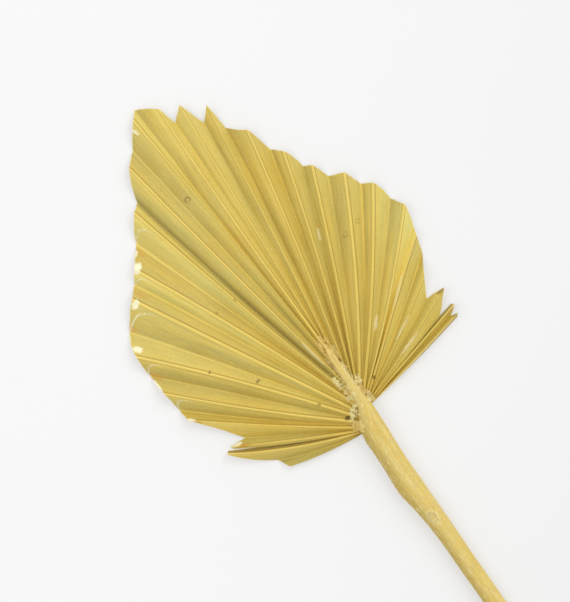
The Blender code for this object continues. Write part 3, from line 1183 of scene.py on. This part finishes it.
@dataclass
class Stalk:
    """The stalk and the costa that it runs on into: one long, fibrous surface.

    Attributes:
        rings: How many ovals the surface is lofted through.
        sides: How many points an oval has.
        crowding: How much closer the rings stand towards the costa's tip.
        shoulder: The share of an oval's height where it is widest.
        side_fullness: The power that fills out its sides, below 1.
        underside_flatness: The power that flattens its underside, below 1.
        rib_depth: How deep the grooves between its fibres are.
        lump_depth: How deep the hollows between its lumps are.
        rough_span: Where the shaved margin is rough, as places along the leaf.
        rough_height: How far the rough margin stands out.
    """

    rings: int = 520
    sides: int = 110
    crowding: float = 1.35
    shoulder: float = 0.38
    side_fullness: float = 0.8
    underside_flatness: float = 0.55
    rib_depth: float = 0.07
    lump_depth: float = 0.16
    rough_span: tuple[float, float] = (-47.5, -17.0)
    rough_height: float = 0.35
    finish: StalkFinish = field(default_factory=StalkFinish)

    def surface(self) -> tuple[Array, Array, Array]:
        """Work out the surface.

        Each ring is an oval with full sides and a flatter underside, drawn in by
        a ripple round it that makes fibres, by lumps, and by the scar's hollow,
        and pushed out on its left flank where the margin is rough.

        Returns:
            Points ring by ring, the angle of each point and the place of each ring.
        """
        first, last = STALK_STATIONS[0][0], STALK_STATIONS[-1][0]
        spread = np.linspace(0.0, 1.0, self.rings)
        along = (first + (last - first) * (1.0 - (1.0 - spread) ** self.crowding))[:, None]
        middle, half_width, underside, top = stalk_station(along[:, 0]).T[..., None]
        turn = 2.0 * np.pi * (np.arange(self.sides) + 0.5)[None] / self.sides
        across = np.sign(np.cos(turn)) * np.abs(np.cos(turn)) ** self.side_fullness
        up = np.sin(turn)
        shoulder = underside + self.shoulder * (top - underside)
        rise = np.where(up > 0.0, top - shoulder, shoulder - underside)
        ribs = 0.5 + 0.5 * ripple(turn + 0.04 * ripple(along, 60.0, 5), 0.22, 3)
        lumps = lumpiness(np.stack(np.broadcast_arrays(turn * 4.5, along), -1), 3.2, 8)
        inward = self.rib_depth * ribs + self.lump_depth * lumps
        drawn_in = 1.0 - inward / np.maximum(half_width, 1.2)
        start, end = self.rough_span
        rough = np.exp(-(((along - 0.5 * (start + end)) / (0.5 * (end - start))) ** 8))
        teeth = 0.4 + 0.6 * ripple(along, 2.6, 11)
        flank = np.exp(-(((turn - np.pi) / 0.3) ** 2))
        x = middle + half_width * across * drawn_in - self.rough_height * rough * teeth * flank
        fullness = np.where(up > 0.0, 1.0, self.underside_flatness)
        z = shoulder + rise * np.sign(up) * np.abs(up) ** fullness * drawn_in
        across_scar = (x - SCAR_PLACE[0]) / SCAR_RADII[0]
        along_scar = (along - SCAR_PLACE[1]) / SCAR_RADII[1]
        from_scar = np.hypot(across_scar, along_scar)
        hollow = 0.25 * np.exp(-((from_scar / 0.7) ** 2))
        rim = 0.12 * np.exp(-(((from_scar - 1.1) / 0.3) ** 2))
        z = z - np.where(up > 0.3, hollow - rim, 0.0)
        y = np.broadcast_to(along, x.shape)
        return np.stack([x, y, z], axis=-1), np.broadcast_to(turn, x.shape), along[:, 0]

    def build(self) -> bpy.types.Object:
        """Make the closed surface and put it in the stalk's place.

        Returns:
            The finished piece.
        """
        grid, turn, along = self.surface()
        number = np.arange(turn.size).reshape(turn.shape)
        beside = np.roll(number, -1, axis=1)
        walls = np.stack([number[:-1], beside[:-1], beside[1:], number[1:]], -1).reshape(-1, 4)
        middles = np.full(self.sides, turn.size)
        near = np.stack([middles, beside[0], number[0]], -1)
        far = np.stack([middles + 1, number[-1], beside[-1]], -1)
        points = np.concatenate([grid.reshape(-1, 3), grid[[0, -1]].mean(axis=1)])

        def with_ends(numbers: Array) -> Array:
            """Give the two end points the mean numbers of the rings that they close."""
            ends = numbers[[0, -1]].mean(axis=1)
            return np.concatenate([numbers.reshape(-1, *numbers.shape[2:]), ends])

        wrap = np.stack([turn, np.broadcast_to(along[:, None], turn.shape)], axis=-1)
        # The left flank, olive partly as painted shade, fades out at the hub.
        flank = np.clip((0.25 - np.cos(turn)) / 0.95, 0.0, 1.0)
        flank = flank * np.clip(-0.2 * along[:, None] - 0.6, 0.0, 1.0)
        upper = np.clip(2.0 * np.sin(turn), 0.0, 1.0)
        stalk = add_piece(
            "stalk_surface",
            points,
            [walls, near, far],
            {"wrap": with_ends(wrap)},
            {"flank": with_ends(flank), "upper": with_ends(upper)},
            self.finish.material(),
            40.0,
        )
        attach(stalk, BODY)
        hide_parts("leaf_stalk")
        return stalk


@dataclass(frozen=True)
class Crust:
    """A patch of scurf: an oval, lying on the blade and the costa.

    Attributes:
        middle: Its middle.
        radii: Its half width and half length.
        turn: How far it is turned, in degrees.
        thickness: How thick it is in its middle.
        age: How tan it is, from 0 for fresh and pale to 1.
    """

    middle: tuple[float, float]
    radii: tuple[float, float]
    turn: float
    thickness: float
    age: float


CRUSTS = (
    Crust((-6.5, -3.2), (3.9, 2.1), 38.0, 0.8, 0.0),
    Crust((-5.3, 11.6), (1.3, 4.4), 9.0, 0.6, 0.15),
    Crust((-4.1, 7.2), (2.0, 3.6), 8.0, 0.6, 0.3),
    Crust((-3.9, 3.4), (2.4, 2.2), 0.0, 0.6, 0.35),
    Crust((-3.1, 0.6), (1.5, 1.9), 0.0, 0.5, 0.5),
    Crust((3.4, 7.8), (1.7, 2.4), -20.0, 0.6, 0.15),
    Crust((2.5, 3.2), (1.1, 2.2), 0.0, 0.5, 0.7),
    Crust((3.6, -1.6), (1.7, 3.0), 12.0, 0.6, 0.35),
    Crust((4.6, -3.9), (1.6, 0.9), 10.0, 0.5, 0.7),
    Crust((-8.6, -9.4), (2.8, 3.3), 10.0, 0.7, 0.8),
    Crust((-2.0, -2.4), (1.3, 1.1), 0.0, 0.35, 0.8),
    Crust((-2.8, 17.0), (0.7, 8.0), 5.0, 0.4, 0.45),
    Crust((-1.8, 26.0), (1.4, 6.5), 6.0, 0.7, 0.9),
    Crust((1.5, 13.0), (1.0, 9.5), -1.0, 0.4, 0.45),
    Crust((1.7, 23.0), (1.1, 4.0), -8.0, 0.45, 0.4),
    Crust((0.9, 24.5), (1.4, 7.0), -4.0, 0.7, 0.9),
    Crust((-0.4, 31.0), (1.0, 3.5), -3.0, 0.5, 0.9),
)


@dataclass
class Scurf:
    """Crusts of dried scurf that fill the pleats' roots on both sides of the costa.

    Attributes:
        low: The near left corner of the region that is searched for crust.
        high: Its far right corner.
        step: The spacing of the grid.
        sunk: How far the crust's underside lies in the pieces below it.
        level_passes: How many times the ground's height is evened out under it.
    """

    low: tuple[float, float] = (-13.0, -14.0)
    high: tuple[float, float] = (8.0, 35.5)
    step: float = 0.17
    sunk: float = 0.35
    level_passes: int = 8
    finish: ScurfFinish = field(default_factory=ScurfFinish)

    def ground(self, places: Array, rests: list[bpy.types.Object]) -> Array:
        """Find how high the pieces stand.

        Args:
            places: Points on the floor, on a grid.
            rests: The pieces.

        Returns:
            The height at each point, or -1 where there is no piece.
        """
        hub = hub_place()
        heights = np.full(places.shape[:2], -1.0)
        for piece in rests:
            corners = [vertex.co for vertex in piece.data.vertices]
            tree = BVHTree.FromPolygons(corners, [tuple(face.vertices) for face in piece.data.polygons])
            for index in np.ndindex(heights.shape):
                x, y = places[index] * MM + hub[:2]
                hit = tree.ray_cast(Vector((x, y, 0.05)), Vector((0.0, 0.0, -1.0)))[0]
                if hit is not None:
                    heights[index] = max(heights[index], hit.z / MM)
        return heights

    def build(self, rests: list[bpy.types.Object]) -> bpy.types.Object:
        """Lay the crusts on the pieces below them.

        A crust's thickness is its oval's bell, roughened by lumps, less a little,
        and it is there where that is above zero.  It bridges narrow folds: it
        lies on the mean of the heights around it.

        Args:
            rests: The pieces that the crusts lie on.

        Returns:
            The finished piece.
        """
        xs = np.arange(self.low[0], self.high[0], self.step)
        ys = np.arange(self.low[1], self.high[1], self.step)
        places = np.stack(np.meshgrid(xs, ys, indexing="ij"), axis=-1)
        coarse, small = lumpiness(places, 1.3, 31), lumpiness(places, 0.55, 32)
        thickness = np.full(places.shape[:2], -1.0)
        age = np.ones(places.shape[:2])
        for crust in CRUSTS:
            turn = math.radians(crust.turn)
            out = places - crust.middle
            along = (out[..., 0] * math.cos(turn) + out[..., 1] * math.sin(turn)) / crust.radii[0]
            aside = (out[..., 1] * math.cos(turn) - out[..., 0] * math.sin(turn)) / crust.radii[1]
            bell = 1.0 - along**2 - aside**2 + 1.1 * (coarse - 0.5)
            here = crust.thickness * (np.minimum(bell, 0.55) + 1.1 * (small - 0.5))
            age = np.where(here > thickness, crust.age, age)
            thickness = np.maximum(thickness, here)
        height = self.ground(places, rests)
        on = height > 0.0
        level = np.where(on, height, 0.0)
        weight = on.astype(float)
        for _ in range(self.level_passes):
            level, weight = (
                sum(np.roll(grid, move, axis) for axis in (0, 1) for move in (-1, 0, 1)) / 6.0
                for grid in (level, weight)
            )
        level = level / np.maximum(weight, 0.01)
        there = (thickness > 0.0) & (weight > 0.8)
        filled = there[:-1, :-1] & there[1:, :-1] & there[1:, 1:] & there[:-1, 1:]
        top = np.maximum(level + 0.8 * thickness, height + 0.3 * thickness)
        upper = np.concatenate([places, top[..., None]], axis=-1)
        lower = np.concatenate([places, (height - self.sunk)[..., None]], axis=-1)
        faces = sheet_faces(filled)
        used, faces = np.unique(faces, return_inverse=True)
        points = np.concatenate([upper.reshape(-1, 3), lower.reshape(-1, 3)])[used]
        pit = np.clip(1.4 - 5.0 * thickness, 0.0, 1.0) * (small < 0.5) * (1.0 - age)
        numbers = {"age": np.tile(age.ravel(), 2)[used], "pit": np.tile(pit.ravel(), 2)[used]}
        material = self.finish.material()
        crusts = add_piece("hub_scurf", points, [faces.reshape(-1, 4)], {}, numbers, material)
        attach(crusts, BODY)
        return crusts


@dataclass
class Studio:
    """A plain pale floor, soft lamps and the camera straight above.

    Attributes:
        look_at: The point in the middle of the view, from the hub.
        turn: How far the camera's right is turned from +X, in degrees.
        distance: How high the camera hangs, in metres.
        seen_height: The height of what the view takes in, in metres.
        floor_left: The floor's colour on the left, lighter, as painted light.
        floor_right: The floor's colour on the right, darker, as painted shade.
        floor_glow: How strongly the floor, a lit table, glows by itself.
        floor_reach: How far the floor runs from the leaf, in metres.
        room_light: How bright the room's even light is.
    """

    look_at: tuple[float, float] = (-3.8, 55.6)
    turn: float = -34.5
    distance: float = 1.1
    seen_height: float = 0.271
    floor_left: tuple[int, int, int] = (186, 186, 186)
    floor_right: tuple[int, int, int] = (176, 176, 176)
    floor_glow: float = 0.4
    floor_reach: float = 3.0
    room_light: float = 0.8

    def _lamp(self, name: str, place: tuple[float, float, float], size: float, power: float) -> None:
        """Hang a square lamp and aim it at the leaf.

        Args:
            name: The lamp's name.
            place: Where it hangs, in metres from the point that it is aimed at.
            size: The length of its side, in metres.
            power: Its power, in watts.
        """
        light = bpy.data.lights.new(name, "AREA")
        light.shape = "SQUARE"
        light.size = size
        light.energy = power
        lamp = bpy.data.objects.new(name, light)
        bpy.context.scene.collection.objects.link(lamp)
        target = Vector(hub_place()) + Vector((*self.look_at, 0.0)) * MM
        lamp.location = target + Vector(place)
        lamp.rotation_euler = (target - lamp.location).to_track_quat("-Z", "Y").to_euler()

    def build(self) -> None:
        """Lay the floor, hang the lamps and set the camera."""
        scene = bpy.context.scene
        hub = Vector(hub_place())
        graph = Graph("floor")
        place = graph.own_place()
        rightwards = (math.cos(math.radians(self.turn)), math.sin(math.radians(self.turn)), 0.0)
        settings = {"operation": "DOT_PRODUCT"}
        across = graph.node("ShaderNodeVectorMath", settings, {0: place, 1: rightwards}, "Value")
        # Painted light: the floor is lighter on the left and darker on the right.
        share = (across + (graph.noise(place, 4.0, 2.0) - 0.5) * 0.1).ramp(-0.16, 0.2)
        colour = graph.blend(share, shade(*self.floor_left), shade(*self.floor_right))
        fixed = {"Roughness": 0.9, "Specular IOR Level": 0.2, "Emission Strength": self.floor_glow}
        floor_finish = graph.finish(fixed, {"Base Color": colour})
        mesh = bpy.data.meshes.new("floor")
        sides = ((-1.0, -1.0), (1.0, -1.0), (1.0, 1.0), (-1.0, 1.0))
        corners = [(self.floor_reach * x, self.floor_reach * y, 0.0) for x, y in sides]
        mesh.from_pydata(corners, [], [(0, 1, 2, 3)])
        mesh.materials.append(floor_finish)
        floor = bpy.data.objects.new("floor", mesh)
        scene.collection.objects.link(floor)

        world = bpy.data.worlds.new("studio")
        world.use_nodes = True
        sky = world.node_tree.nodes["Background"]
        sky.inputs["Color"].default_value = (1.0, 1.0, 1.0, 1.0)
        sky.inputs["Strength"].default_value = self.room_light
        scene.world = world
        self._lamp("key", (1.5, 0.45, 1.35), 1.3, 14.0)
        self._lamp("fill", (-1.2, 0.6, 1.7), 1.2, 7.4)

        lens = bpy.data.cameras.new("camera")
        lens.sensor_width = 36.0
        lens.lens = lens.sensor_width * self.distance / self.seen_height
        lens.clip_start = 0.05
        camera = bpy.data.objects.new("camera", lens)
        scene.collection.objects.link(camera)
        camera.location = hub + Vector((*self.look_at, 0.0)) * MM + Vector((0.0, 0.0, self.distance))
        camera.rotation_euler = (0.0, 0.0, math.radians(self.turn))
        scene.camera = camera
        scene.view_settings.view_transform = "Standard"


def main() -> None:
    """Build the leaf and the studio, and report each piece."""
    logging.basicConfig(level=logging.INFO, format="%(name)s: %(message)s")
    Studio().build()
    sheet = Blade().build()
    stalk = Stalk().build()
    crusts = Scurf().build([sheet, stalk])
    for piece in (sheet, stalk, crusts):
        LOG.info("%s: %d faces", piece.name, len(piece.data.polygons))


if __name__ == "__main__":
    main()
